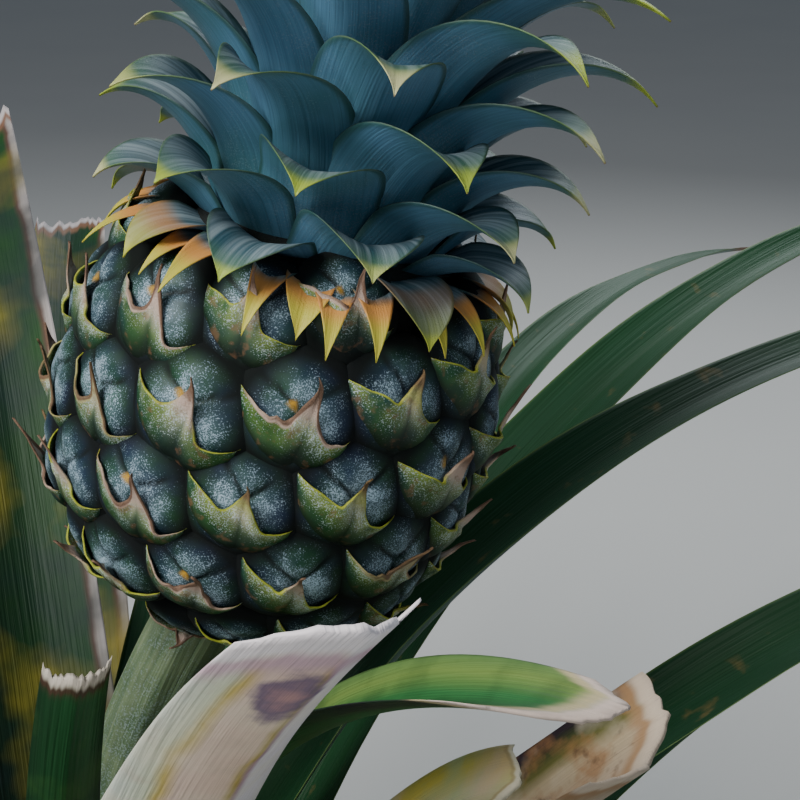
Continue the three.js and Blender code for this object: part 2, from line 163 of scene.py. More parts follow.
# How the torn ends run: pairs of a place across the leaf, from -1 to 1, and the millimetres lost there
TORN_ENDS = {
    25: ((-1, 8), (-0.5, 0), (0, 4), (0.5, -6), (1, -2)),
    28: ((-1, 0), (-0.3, 6), (0.4, 0), (1, 30)),
    30: ((-1, 10), (0, 0), (0.6, -4), (1, 4)),
    33: ((-1, -4), (-0.78, -15), (-0.5, -21), (-0.1, -24), (0.4, -16), (0.7, -4), (0.8, -9), (0.88, -8), (1, 8)),
    36: ((-1, -3), (-0.7, 0), (1, 0)),
    38: ((-1, 26), (-0.4, 8), (0.2, -6), (0.7, -10), (1, 2)),
}
TORN_RIMS = {28: 5, 30: 3, 33: 20, 36: 5}  # how far from the torn end its colours reach, in millimetres
PLAIN_RIM = 9  # for the other cut leaves
DRY_LEAVES = (1, 2, 25)

# Every blade
WRAP_MOST = 40 * DEGREE
CROWN_WHOLE = 0.985  # a whole leaf stops just short of the rule's end, where its width would be nothing
LEAF_WHOLE = 0.994
CHANNEL_START = 3  # a blade is flat at its foot and fully channelled from 1 / 3 of its length
EDGE_THINNING = 0.85  # part of a blade's thickness that is gone at its edges
TIP_THINNING = 0.7
LEAST_THICK = 0.35 * MM
FOOT_FADE = 30 * MM  # how far up from its foot a blade is pale
BEND_STEPS = 16  # straight stretches that a blade's middle line is added up from

# Rows and columns of the meshes
STEM_GRID = (180, 40)
STALK_GRID = (40, 54)
RIND_GRID = (36, 60)
EYE_GRID = (16, 48)
BRACT_GRID = (16, 44)
CORE_SIDES = 24
CROWN_GRID = (30, 14)
SHOULDER_GRID = (16, 8)
WHOLE_GRID = (64, 16)
TORN_GRID = (64, 30)

# The camera, fitted to the fruit in the photograph, and the plain studio
CAMERA_ASIDE = 39.2 * MM  # from the fruit's middle to the picture's
CAMERA_DISTANCE = 493 * MM
CAMERA_DOWN = 20 * DEGREE
CAMERA_LENS = 70.9  # in millimetres, for a frame 36 mm wide
CAMERA_FRAME = 36
CAMERA_NEAR = 10 * MM
FLOOR_HALF_SIZE = 80  # metres
SKY_COLOUR = (0.75, 0.86, 1.0, 1)
SKY_STRENGTH = 0.16
LIGHTS = (  # name, place, size, watts and colour
    ("key_light", (-0.9, -0.8, 1.7), 0.9, 40, (1.0, 0.98, 0.94)),
    ("fill_light", (1.6, -1.2, 1.2), 1.6, 5, (0.85, 0.93, 1.0)),
    ("low_light", (-0.5, -1.3, 0.45), 0.5, 3, (1.0, 0.97, 0.95)),
    ("back_light", (0.6, 1.5, 1.6), 1.2, 18, (0.9, 0.96, 1.0)))

TO_FRUIT = Matrix.Translation(FRUIT_CENTRE) @ Matrix.Rotation(FRUIT_LEAN, 4, "Y")


# Small helpers


def between(low, high, part):
    return low + (high - low) * part


def along_pairs(pairs, place):
    """The value at a place along straight stretches between (place, value) pairs."""
    return np.interp(place, *zip(*pairs))


def smooth_step(low, high, value):
    part = np.clip((value - low) / (high - low), 0, 1)
    return part * part * (3 - 2 * part)


def peak(distance, width, power=2):
    """1 at no distance, falling smoothly to almost nothing past the width."""
    return np.exp(-((distance / width) ** power))


def wander(seed, places):
    """A smooth line that strays from zero by about one, the same each time for one seed."""
    draw = random.Random(seed)
    return sum(np.sin(places * wave * 2 * math.pi + draw.uniform(0, 2 * math.pi)) / wave for wave in range(1, 6))


def ragged(seed, places, knots):
    """A torn line: straight stretches between random heights from 0 to 1."""
    draw = random.Random(seed)
    heights = [draw.random() for _ in range(knots)]
    return np.interp(places, np.linspace(0, 1, knots), heights)


def make_mesh(name, points, faces, material=None, fields=None, flat_map=None, place=None):
    """A mesh from points and faces, with a named value at every point and a UV map in metres."""
    mesh = bpy.data.meshes.new(name)
    mesh.from_pydata(np.asarray(points).tolist(), [], faces)
    for field, values in (fields or {}).items():
        layer = mesh.attributes.new(field, "FLOAT", "POINT")
        layer.data.foreach_set("value", np.ascontiguousarray(values, dtype=np.float32))
    if flat_map is not None:
        corners = np.empty(len(mesh.loops), dtype=np.int32)
        mesh.loops.foreach_get("vertex_index", corners)
        layer = mesh.uv_layers.new(name=UV_MAP)
        layer.uv.foreach_set("vector", np.asarray(flat_map, dtype=np.float32)[corners].ravel())
    mesh.polygons.foreach_set("use_smooth", [True] * len(mesh.polygons))
    if material is not None:
        mesh.materials.append(material)
    if place is not None:
        mesh.transform(place)
    mesh.update()
    return mesh


def show(name, thing):
    """Puts a mesh, a lamp or a camera in the scene."""
    shown = bpy.data.objects.new(name, thing)
    bpy.context.scene.collection.objects.link(shown)
    return shown


def seat_piece(piece, slot, nodes):
    """Says which body a piece rides on and hides the solids that it stands for; the slot is not used."""
    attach(piece, BODY)
    if nodes:
        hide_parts(*nodes)


def seat(name, slot, nodes, *shape, **more):
    """Makes a piece of points, faces and a material, and says what it stands for."""
    seat_piece(show(name, make_mesh(name, *shape, **more)), slot, nodes)


class Tree:
    """A node tree being built. A node's inputs are given as values or as the outputs that feed them."""

    def __init__(self, tree):
        self.tree = tree

    def feed(self, socket, value):
        if isinstance(value, bpy.types.NodeSocket):
            self.tree.links.new(value, socket)
        else:
            socket.default_value = value

    def add(self, kind, inputs=None, **settings):
        """Adds a node with these inputs and properties, and gives its outputs."""
        made = self.tree.nodes.new(kind)
        for key, value in settings.items():
            setattr(made, key, value)
        for key, value in (inputs or {}).items():
            self.feed(made.inputs[key], value)
        return made.outputs

    def calc(self, operation, *values):
        return self.add("ShaderNodeMath", dict(enumerate(values)), operation=operation)[0]

    def times(self, *values):
        return self.calc("MULTIPLY", *values)

    def vector(self, *parts):
        return self.add("ShaderNodeCombineXYZ", dict(enumerate(parts)))[0]

    def noise(self, place, scale, detail, output=0):
        return self.add("ShaderNodeTexNoise", {"Vector": place, "Scale": scale, "Detail": detail})[output]

    def stretch(self, value, low, high):
        """0 up to low, 1 from high and straight between them."""
        return self.add("ShaderNodeMapRange", {0: value, 1: low, 2: high})[0]


class Group(Tree):
    """A node group with one output. Each input has its default, or its kind where it has no default."""

    def __init__(self, name, kind, output, output_kind, inputs):
        super().__init__(bpy.data.node_groups.new(name, kind))
        sockets = self.tree.interface
        for label, value in inputs.items():
            has_default = not isinstance(value, str)
            socket = ("Int" if isinstance(value, int) else "Float") if has_default else value
            made = sockets.new_socket(label, in_out="INPUT", socket_type="NodeSocket" + socket)
            if has_default:
                made.default_value = value
        sockets.new_socket(output, in_out="OUTPUT", socket_type="NodeSocket" + output_kind)
        self.given = self.tree.nodes.new("NodeGroupInput").outputs
        self.result = self.tree.nodes.new("NodeGroupOutput").inputs[0]


# Effects that several materials use


def make_lines_group():
    """Fine lines along a leaf: the map is across and along the leaf in metres."""
    group = Group("lengthwise_lines", "ShaderNodeTree", "Lines", "Float",
                  dict(Pitch=0.0008, Streak=0.08, Seed=0.0, Contrast=0.5))
    given = group.given
    flat = group.add("ShaderNodeUVMap", uv_map=UV_MAP)[0]
    parts = group.add("ShaderNodeSeparateXYZ", {0: flat})
    across = group.calc("DIVIDE", parts[0], given["Pitch"])
    along = group.calc("DIVIDE", parts[1], given["Streak"])
    noise = group.noise(group.vector(across, along, given["Seed"]), 1.0, 3.0)
    low = group.times(given["Contrast"], 0.4)
    group.feed(group.result, group.stretch(noise, low, group.calc("SUBTRACT", 1.0, low)))
    return group.tree


def make_scurf_group():
    """Mealy specks of wax: dense patches of grains on bare ground."""
    group = Group("mealy_scurf", "ShaderNodeTree", "Scurf", "Float", dict(Grain=0.0006, Patch=0.012, Cover=0.5))
    given = group.given
    place = group.add("ShaderNodeTexCoord")["Object"]
    grains = group.noise(place, group.calc("DIVIDE", 1.0, given["Grain"]), 2.0)
    patches = group.noise(place, group.calc("DIVIDE", 1.0, given["Patch"]), 3.0)
    patches = group.stretch(patches, 0.35, 0.65)
    bar = group.calc("SUBTRACT", 0.74, group.times(given["Cover"], 0.3))
    bar = group.calc("SUBTRACT", bar, group.times(group.calc("SUBTRACT", patches, 0.3), 0.16))
    group.feed(group.result, group.stretch(grains, bar, group.calc("ADD", bar, 0.1)))
    return group.tree


def make_blotch_group():
    """Soft-edged blotches: Amount is how much of the surface they take."""
    group = Group("blotches", "ShaderNodeTree", "Mask", "Float", dict(Size=0.02, Amount=0.5, Softness=0.1, Seed=0.0))
    given = group.given
    shift = group.vector(given["Seed"], given["Seed"], 0.0)
    place = group.add("ShaderNodeTexCoord")["Object"]
    place = group.add("ShaderNodeVectorMath", {0: place, 1: shift}, operation="ADD")[0]
    noise = group.noise(place, group.calc("DIVIDE", 1.0, given["Size"]), 4.0)
    middle = group.calc("SUBTRACT", 0.75, group.times(given["Amount"], 0.5))
    low = group.calc("SUBTRACT", middle, given["Softness"])
    high = group.calc("ADD", middle, given["Softness"])
    group.feed(group.result, group.stretch(noise, low, high))
    return group.tree


LINES = make_lines_group()
SCURF = make_scurf_group()
BLOTCH = make_blotch_group()


class Finish(Tree):
    """A material being built: layers of colour, then roughness and relief on one Principled shader."""

    def __init__(self, name, base, roughness, **plain):
        self.material = bpy.data.materials.new(name)
        self.material.use_nodes = True
        super().__init__(self.material.node_tree)
        self.shader = self.tree.nodes["Principled BSDF"].inputs
        for key, value in dict(plain, Roughness=roughness).items():
            self.shader[key.replace("_", " ")].default_value = value
        self.colour = base
        self.height = None

    def fields(self, names):
        """The values at the mesh's points that have these names."""
        return [self.add("ShaderNodeAttribute", attribute_name=name)["Fac"] for name in names.split()]

    def fade(self, value, low, high):
        """0 up to low, 1 from high and smooth between them; the other way round where low is above high."""
        return self.add("ShaderNodeMapRange", {0: value, 1: low, 2: high}, interpolation_type="SMOOTHSTEP")[0]

    def effect(self, group, **inputs):
        return self.add("ShaderNodeGroup", inputs, node_tree=group)[0]

    def blotches(self, size, amount, softness, seed=0.0):
        return self.effect(BLOTCH, Size=size, Amount=amount, Softness=softness, Seed=seed)

    def mix(self, under, over, part):
        under, over = (value if isinstance(value, bpy.types.NodeSocket) else (*value, 1) for value in (under, over))
        return self.add("ShaderNodeMix", {0: part, 6: under, 7: over}, data_type="RGBA")[2]

    def layer(self, colour, part, most=1.0):
        """Lays a colour over what is there, where part is one."""
        if most != 1.0:
            part = self.times(part, most)
        self.colour = self.mix(self.colour, colour, part)

    def relief(self, value, depth):
        scaled = self.times(value, depth)
        self.height = scaled if self.height is None else self.calc("ADD", self.height, scaled)

    def done(self, roughness=None):
        self.feed(self.shader["Base Color"], self.colour)
        if roughness is not None:
            self.feed(self.shader["Roughness"], roughness)
        if self.height is not None:
            bump = self.add("ShaderNodeBump", {"Height": self.height, "Distance": 1.0, "Strength": 1.0})
            self.feed(self.shader["Normal"], bump[0])
        return self.material


# Colours, as linear red, green and blue
DEEP_GREEN = (0.006, 0.045, 0.012)
LEAF_GREEN = (0.006, 0.060, 0.014)
GREY_GREEN = (0.020, 0.088, 0.045)
SEA_GREEN = (0.02, 0.11, 0.09)
EDGE_GREEN = (0.010, 0.050, 0.020)
SOFT_GREEN = (0.07, 0.17, 0.06)
RIM_GREEN = (0.16, 0.26, 0.05)
MOSS = (0.008, 0.060, 0.018)
OLIVE = (0.20, 0.28, 0.05)
YELLOW_GREEN = (0.33, 0.42, 0.05)
TIP_YELLOW = (0.34, 0.44, 0.05)
WARM_YELLOW = (0.52, 0.48, 0.05)
ORANGE = (0.62, 0.28, 0.07)
AMBER = (0.60, 0.34, 0.04)
WAX_BLUE = (0.11, 0.27, 0.42)
BLOOM_BLUE = (0.16, 0.26, 0.30)
MEALY_BLUE = (0.40, 0.54, 0.66)
MEALY_WHITE = (0.52, 0.64, 0.66)
INDIGO = (0.010, 0.020, 0.070)
DEEP_TEAL = (0.018, 0.068, 0.130)
INNER_TEAL = (0.012, 0.050, 0.060)
EYE_TEAL = (0.006, 0.030, 0.034)
BRACT_TEAL = (0.008, 0.040, 0.050)
SILVER = (0.30, 0.38, 0.42)
CREAM = (0.62, 0.56, 0.40)
PALE_STRAW = (0.62, 0.55, 0.44)
STRAW = (0.50, 0.40, 0.28)
DRY_TAN = (0.36, 0.24, 0.15)
PINK_TAN = (0.52, 0.36, 0.29)
SPOT_BROWN = (0.24, 0.16, 0.05)
DRY_BROWN = (0.20, 0.10, 0.05)
THORN_BROWN = (0.16, 0.085, 0.05)
DARK_BROWN = (0.05, 0.022, 0.014)
PLUM_BROWN = (0.10, 0.05, 0.06)
BRACT_GREEN = (0.008, 0.070, 0.016)
BRACT_FRESH = (0.07, 0.15, 0.03)
BRACT_YELLOW = (0.31, 0.40, 0.05)
BRACT_MARGIN = (0.38, 0.42, 0.04)
BRACT_KEEL = (0.42, 0.48, 0.22)
BRACT_RIDGE = (0.62, 0.55, 0.50)
THORN_PINK = (0.58, 0.42, 0.35)
THORN_GREEN = (0.40, 0.42, 0.06)
# painted shade for the creases between a fruitlet's sepals
CREASE_SHADE = (0.0015, 0.008, 0.007)
# painted shade: near black for the grooves between the fruitlets
GROOVE_SHADE = (0.0006, 0.0020, 0.0018)
# painted shade for the foot of a bract, down in the groove
BRACT_FOOT_SHADE = (0.0015, 0.006, 0.004)
LILAC = (0.66, 0.60, 0.68)
BLACK = (0, 0, 0)


def crown_finish():
    made = Finish("waxy_crown_leaf", WAX_BLUE, 0.5)
    lot, side, along, edge, ripe = made.fields("lot side along edge ripe")
    lines = made.effect(LINES, Pitch=0.0006, Streak=0.05, Seed=lot, Contrast=0.6)
    made.layer(DEEP_TEAL, lines, 0.6)
    made.layer(SEA_GREEN, made.blotches(0.03, 0.45, 0.2), 0.6)
    scurf = made.effect(SCURF, Grain=0.0005, Patch=0.02, Cover=0.35)
    made.layer(SILVER, scurf, 0.25)
    inner = made.calc("SUBTRACT", 1.0, side)
    bands = made.effect(LINES, Pitch=0.0015, Streak=0.09, Seed=lot, Contrast=0.85)
    made.layer(INNER_TEAL, inner, 0.8)
    made.layer(SILVER, made.times(inner, bands), 0.85)
    made.layer(EDGE_GREEN, made.fade(edge, 0.86, 0.97), 0.7)
    made.layer(OLIVE, made.times(made.fade(edge, 0.97, 0.995), made.fade(along, 0.55, 0.95)), 0.6)
    made.layer(SOFT_GREEN, made.fade(along, 0.68, 0.90), 0.6)
    tip = made.fade(along, 0.83, 0.92)
    made.layer(TIP_YELLOW, tip)
    made.layer(CREAM, made.times(tip, made.fade(lot, 4.0, 6.5)), 0.6)
    warm = made.mix(ORANGE, WARM_YELLOW, made.fade(along, 0.55, 0.78))
    made.layer(warm, made.times(ripe, made.fade(along, 0.34, 0.52)))
    made.layer(DRY_BROWN, made.fade(along, 0.975, 0.99))
    made.relief(lines, 0.00012)
    made.relief(scurf, 0.00006)
    return made.done()


def leaf_finish():
    """A whole green leaf of the rosette, whose outer face is greyer than its inner one."""
    made = Finish("green_leaf", LEAF_GREEN, 0.48, Specular_IOR_Level=0.35)
    lot, side, along, edge, foot = made.fields("lot side along edge foot")
    fine = made.effect(LINES, Pitch=0.0009, Streak=0.10, Seed=lot, Contrast=0.55)
    bands = made.effect(LINES, Pitch=0.004, Streak=0.25, Seed=lot, Contrast=0.6)
    made.layer(GREY_GREEN, side)
    made.layer(GREY_GREEN, made.times(bands, 0.5))
    made.layer(SILVER, made.times(made.times(side, fine), 0.35))
    made.layer(DEEP_GREEN, made.times(made.calc("SUBTRACT", 1.0, side), fine), 0.5)
    made.layer(DEEP_GREEN, made.blotches(0.06, 0.45, 0.15), 0.6)
    made.layer(SPOT_BROWN, made.blotches(0.012, 0.10, 0.06, 9.0), 0.5)
    made.layer(RIM_GREEN, made.fade(edge, 0.96, 0.99), 0.5)
    made.layer(CREAM, foot, 0.8)
    made.layer(DRY_BROWN, made.fade(along, 0.955, 0.985))
    made.relief(fine, 0.0002)
    made.relief(bands, 0.0003)
    return made.done()


def banded_finish(name, bands, blotches, end_colour, line_colour, spots=(), roughness=0.55, grain=0.5):
    """A faded or torn leaf: bands of colour across it, blotches on them, a coloured line before the torn end,
    and bruises at places across and along the leaf in metres."""
    made = Finish(name, bands[0][1], roughness, Specular_IOR_Level=0.3)
    lot, cut, across = made.fields("lot cut across")
    wobble = made.calc("SUBTRACT", made.blotches(0.03, 0.5, 0.4, 2.0), 0.5)
    shifted = made.calc("ADD", across, made.times(wobble, 0.22))
    made.colour = made.add("ShaderNodeValToRGB", {0: made.calc("MULTIPLY_ADD", shifted, 0.5, 0.5)})[0]
    stops = made.colour.node.color_ramp.elements
    while len(stops) < len(bands):
        stops.new(0.5)
    for stop, (place, colour) in zip(stops, bands):
        stop.position = place / 2 + 0.5
        stop.color = (*colour, 1)
    fine = made.effect(LINES, Pitch=0.0010, Streak=0.06, Seed=lot, Contrast=0.55)
    made.colour = made.mix(made.colour, made.mix(made.colour, BLACK, 0.35), made.times(fine, grain))
    for colour, size, amount, seed, most in blotches:
        made.layer(colour, made.blotches(size, amount, 0.09, seed), most)
    made.layer(line_colour, made.times(made.fade(cut, 0.05, 0.4), made.fade(cut, 0.85, 0.5)), 0.85)
    made.layer(end_colour, made.fade(cut, 0.45, 0.8))
    flat = made.add("ShaderNodeUVMap", uv_map=UV_MAP)[0]
    for (x, y), (wide, long), ring, middle in spots:
        moved = made.add("ShaderNodeVectorMath", {0: flat, 1: (x, y, 0)}, operation="SUBTRACT")[0]
        sized = made.add("ShaderNodeVectorMath", {0: moved, 1: (1 / wide, 1 / long, 0)}, operation="MULTIPLY")[0]
        far = made.add("ShaderNodeVectorMath", {0: sized}, operation="LENGTH")["Value"]
        far = made.calc("MULTIPLY_ADD", made.blotches(0.007, 0.5, 0.3), 0.7, far)
        made.layer(ring, made.fade(far, 1.6, 1.0), 0.85)
        made.layer(middle, made.fade(far, 1.05, 0.5), 0.8)
    made.relief(fine, 0.0003)
    return made.done()


def dry_finish():
    made = Finish("straw_leaf", STRAW, 0.75)
    lot, edge = made.fields("lot edge")
    lines = made.effect(LINES, Pitch=0.0016, Streak=0.07, Seed=lot, Contrast=0.7)
    made.layer(DRY_TAN, lines, 0.55)
    made.layer(PALE_STRAW, made.blotches(0.05, 0.5, 0.12, 3.0), 0.7)
    made.layer(DRY_BROWN, made.blotches(0.009, 0.22, 0.05, 7.0), 0.7)
    made.layer(YELLOW_GREEN, made.blotches(0.09, 0.3, 0.12, 1.0), 0.3)
    made.layer(PLUM_BROWN, made.fade(edge, 0.86, 1.0), 0.9)
    made.relief(lines, 0.0004)
    return made.done()


def eye_finish():
    made = Finish("fruitlet_skin", EYE_TEAL, 0.46, Specular_IOR_Level=0.3)
    rise, crease, heart, lot = made.fields("rise crease heart lot")
    made.layer(MOSS, made.blotches(0.011, 0.5, 0.14))
    made.layer(INDIGO, made.blotches(0.014, 0.42, 0.14, 4.0), 0.8)
    made.layer(BLOOM_BLUE, made.times(made.fade(rise, 0.72, 1.08), made.blotches(0.007, 0.6, 0.2)), 0.75)
    cover = made.times(made.fade(rise, 0.45, 1.08), 0.76)
    scurf = made.effect(SCURF, Grain=0.00040, Patch=0.007, Cover=cover)
    made.layer(MEALY_BLUE, scurf, 0.85)
    # painted shade: the creases between the sepals are darkened
    made.layer(CREASE_SHADE, crease, 0.85)
    # painted shade: the skin turns near black down the fruitlet's sides into the grooves
    shaded = made.fade(rise, 0.94, 0.50)
    made.layer(GROOVE_SHADE, shaded, 0.97)
    made.layer(AMBER, made.times(heart, made.fade(lot, 0.55, 0.6)))
    made.relief(scurf, 0.0001)
    return made.done(roughness=made.calc("MULTIPLY_ADD", shaded, 0.45, 0.46))


def bract_finish():
    made = Finish("fruitlet_bract", BRACT_GREEN, 0.55, Specular_IOR_Level=0.35)
    margin, thorn, keel, low, lot = made.fields("margin thorn keel low lot")
    made.layer(BRACT_FRESH, made.blotches(0.009, 0.5, 0.15), 0.5)
    made.layer(BRACT_TEAL, made.blotches(0.012, 0.45, 0.15, 6.0), 0.8)
    made.layer(BRACT_YELLOW, made.times(made.fade(margin, 0.45, 1.0), made.blotches(0.008, 0.6, 0.12)), 0.72)
    near_keel = made.times(keel, made.fade(margin, 0.1, 0.9))
    made.layer(BRACT_KEEL, near_keel, 0.55)
    cover = made.calc("MULTIPLY_ADD", near_keel, 0.3, made.times(made.fade(margin, 0.1, 0.8), 0.62))
    scurf = made.effect(SCURF, Grain=0.00042, Patch=0.008, Cover=cover)
    made.layer(MEALY_WHITE, scurf, 0.75)
    # painted shade: the bract's lower part turns near black where it sinks into the groove
    made.layer(BRACT_FOOT_SHADE, made.fade(low, 0.36, 0.90), 0.97)
    made.layer(BRACT_RIDGE, made.times(made.calc("POWER", keel, 4.0), made.fade(margin, 0.25, 0.9)), 0.7)
    made.layer(BRACT_MARGIN, made.fade(margin, 0.945, 0.985))
    made.layer(THORN_PINK, made.times(made.fade(thorn, 0.10, 0.45), made.fade(lot, 0.0, 0.5)), 0.9)
    made.layer(THORN_GREEN, made.times(made.fade(thorn, 0.1, 0.5), made.fade(lot, 0.5, 0.2)), 0.7)
    made.layer(DRY_BROWN, made.blotches(0.0035, 0.26, 0.05), 0.5)
    made.layer(THORN_BROWN, made.fade(thorn, 0.45, 0.75), 0.9)
    made.relief(scurf, 0.00012)
    return made.done()


def plain_finish(name, base, roughness, patches, grain, depth):
    """A base colour under blotches of other colours, with a fine grain in its relief."""
    made = Finish(name, base, roughness)
    for colour, size, amount, part in patches:
        made.layer(colour, made.blotches(size, amount, 0.1), part)
    made.relief(made.effect(SCURF, Grain=grain, Patch=grain * 12, Cover=0.6), depth)
    return made.done()


def stalk_finish():
    made = Finish("stalk_skin", (0.10, 0.16, 0.08), 0.42)
    lines = made.effect(LINES, Pitch=0.0011, Streak=0.04, Contrast=0.6)
    made.layer((0.28, 0.33, 0.20), lines, 0.7)
    made.layer(DEEP_GREEN, made.blotches(0.02, 0.4, 0.15), 0.6)
    scurf = made.effect(SCURF, Grain=0.0006, Patch=0.02, Cover=0.45)
    made.layer(SILVER, scurf, 0.4)
    made.relief(lines, 0.0003)
    return made.done()


# Blades: a leaf is a thin slab on a surface that turns about the plant's or the crown's axis


def taper(t, powers):
    """The width along a blade as part of its widest: the powers set how late and how bluntly it narrows."""
    late, blunt = powers
    return (1 - t ** late) ** blunt


def middle_line(leaf, t):
    """Out from the axis, up along it and the angle from it, along the blade's middle."""
    part = (np.arange(BEND_STEPS) + 0.5) / BEND_STEPS * t[..., None]
    angle = leaf.start + (leaf.end - leaf.start) * part ** leaf.bend
    step = leaf.length * t / BEND_STEPS
    out = leaf.out + np.sin(angle).sum(-1) * step
    up = leaf.up + np.cos(angle).sum(-1) * step
    return out, up, leaf.start + (leaf.end - leaf.start) * t ** leaf.bend


def blade_points(leaf, t, across, below):
    """Points of the blade: across runs from -1 to 1 over its width, below is the depth under its inner face."""
    out, up, angle = middle_line(leaf, t)
    half = leaf.outline(t) * leaf.width / 2
    fold = 0.5 * (np.abs(across) + across * across)
    lift = leaf.channel * half * fold * np.minimum(1, CHANNEL_START * t) + leaf.ripple(t, across) - below
    wrap = np.clip(across * half / out, -WRAP_MOST, WRAP_MOST)
    turn = leaf.azimuth + leaf.sweep * t * t + wrap
    radius = out - lift * np.cos(angle)
    height = up + lift * np.sin(angle)
    return np.stack([radius * np.cos(turn), radius * np.sin(turn), height], -1)


def slab_faces(rows, columns):
    """Faces of a slab of rows by columns: the inner face, the outer face and the rim."""
    grid = np.arange((rows + 1) * (columns + 1)).reshape(rows + 1, columns + 1)
    turned_over = [0, 3, 2, 1]
    squares = np.stack([grid[:-1, :-1], grid[1:, :-1], grid[1:, 1:], grid[:-1, 1:]], -1).reshape(-1, 4)
    walls = [np.stack([side[:-1], side[:-1] + grid.size, side[1:] + grid.size, side[1:]], -1)
             for side in (grid[:, 0], grid[-1], grid[:, -1], grid[0])]
    walls = walls[:2] + [wall[:, turned_over] for wall in walls[2:]]
    return np.concatenate([squares, squares[:, turned_over] + grid.size, *walls])


def twice(values, shape):
    """A slab's values at the points of its inner face, then again at those of its outer face."""
    return np.concatenate([np.broadcast_to(values, shape).ravel()] * 2)


def slab_points(inner, outer):
    return np.concatenate([inner.reshape(-1, 3), outer.reshape(-1, 3)])


def blade(leaf, grid):
    """One leaf's points and faces, and what its material reads at each point."""
    rows, columns = grid
    across = np.linspace(-1, 1, columns + 1)
    ease = np.sin(across * math.pi / 2) * 0.4 + across * 0.6  # narrower strips towards the margins
    across = np.broadcast_to(ease, (rows + 1, columns + 1))
    reach = leaf.reach - leaf.tear(across)
    t = np.linspace(0, 1, rows + 1)[:, None] * reach
    thick = leaf.flesh * (1 - EDGE_THINNING * across ** 2) * (1 - TIP_THINNING * t)
    inner = blade_points(leaf, t, across, 0 * t)
    outer = blade_points(leaf, t, across, np.maximum(thick, LEAST_THICK))
    half = leaf.outline(t) * leaf.width / 2
    both = lambda values: twice(values, t.shape)
    fields = {
        "along": both(t),
        "across": both(across),
        "edge": both(np.abs(across)),
        "cut": both(peak((reach - t) * leaf.length, leaf.rim) * leaf.is_cut),
        "foot": both(peak(t * leaf.length, FOOT_FADE)),
        "side": np.repeat([0.0, 1.0], t.size),
        "lot": np.full(2 * t.size, leaf.lot),
        "ripe": np.full(2 * t.size, leaf.ripe),
    }
    flat_map = np.stack([both(across * half), both(t * leaf.length)], -1)
    return dict(points=slab_points(inner, outer), faces=slab_faces(rows, columns), fields=fields, flat_map=flat_map)


def joined(blades):
    """Several blades as one."""
    starts = np.cumsum([0] + [len(one["points"]) for one in blades])
    faces = np.concatenate([one["faces"] + start for one, start in zip(blades, starts)])
    fields = {name: np.concatenate([one["fields"][name] for one in blades]) for name in blades[0]["fields"]}
    points, flat_map = (np.concatenate([one[part] for one in blades]) for part in ("points", "flat_map"))
    return dict(points=points, faces=faces, fields=fields, flat_map=flat_map)


# Stem and stalk


def stem_radius(z):
    taper = STEM_LOW_RADIUS + (STEM_TOP_RADIUS - STEM_LOW_RADIUS) * z / STEM_HEIGHT
    return taper + (STEM_FOOT_RADIUS - STEM_LOW_RADIUS) * math.exp(-z / STEM_FLARE_HEIGHT * 2)


def tube(grid, centre, frame_at, radius_at):
    """A closed tube of rings by sides: the end rings close on one point each."""
    rings, sides = grid
    map_length = 200 * MM
    points, flat_map = [], []
    for ring in range(rings + 1):
        t = ring / rings
        middle = centre(t)
        side, front = frame_at(t)
        for i in range(sides):
            turn = 2 * math.pi * i / sides
            radius = radius_at(t, turn)
            points.append(middle + side * (radius * math.cos(turn)) + front * (radius * math.sin(turn)))
            flat_map.append((abs(turn - math.pi) * radius, t * map_length))
    round_ring = lambda ring: [(ring * sides + i, ring * sides + (i + 1) % sides) for i in range(sides)]
    faces = [(a, b, b + sides, a + sides) for ring in range(rings) for a, b in round_ring(ring)]
    for end in (0, 1):
        tip = len(points)
        points.append(centre(end))
        flat_map.append((0, end * map_length))
        faces += [(tip, a, b) if end else (tip, b, a) for a, b in round_ring(end * rings)]
    return points, faces, flat_map


def upright_tube(grid, height_at, radius_at):
    directions = Vector((1, 0, 0)), Vector((0, 1, 0))
    return tube(grid, lambda t: Vector((0, 0, height_at(t))), lambda t: directions, radius_at)


def make_stem():
    scar_rise = (LEAF_HIGHEST - LEAF_LOWEST) / (LEAF_COUNT - 1)

    def radius_at(t, turn):
        z = t * STEM_HEIGHT
        spiral = (z / scar_rise + turn / (2 * math.pi)) % 1
        return stem_radius(z) - SCAR_DEPTH * (1 - abs(2 * spiral - 1)) ** 3

    points, faces, flat_map = upright_tube(STEM_GRID, lambda t: t * STEM_HEIGHT, radius_at)
    material = plain_finish(
        "stem_bark", (0.13, 0.085, 0.05), 0.85,
        [((0.26, 0.19, 0.12), 0.012, 0.5, 0.7), ((0.05, 0.03, 0.02), 0.006, 0.35, 0.7)], 0.0008, 0.0004)
    seat("stem_bark", "stem", ["stem"], points, faces, material, flat_map=flat_map)


def make_stalk():
    foot = Vector((0, 0, STEM_HEIGHT))
    head = TO_FRUIT @ Vector((0, 0, -FRUIT_HALF_LENGTH + STALK_SEAT))
    middle = Vector((0, 0, foot.z + (head.z - foot.z) * STALK_BEND))

    def centre(t):
        return foot * (1 - t) ** 2 + middle * (2 * t * (1 - t)) + head * t ** 2

    def frame_at(t):
        way = ((middle - foot) * (1 - t) + (head - middle) * t).normalized()
        side = Vector((0, 1, 0))
        return side.cross(way).normalized(), side

    def radius_at(t, turn):
        plain = between(STALK_FOOT_RADIUS, STALK_TOP_RADIUS, t ** 3)
        return plain * (1 + STALK_FLUTING * math.cos(STALK_FLUTES * turn + 3 * t))

    points, faces, flat_map = tube(STALK_GRID, centre, frame_at, radius_at)
    seat("stalk_skin", "stalk", ["stalk"], points, faces, stalk_finish(), flat_map=flat_map)


# Fruit, in its own frame with Z along its axis


def fruit_radius(z):
    part = abs(z / FRUIT_HALF_LENGTH) ** FRUIT_SQUARENESS
    return FRUIT_RADIUS * max(0, 1 - part) ** (1 / FRUIT_SQUARENESS)


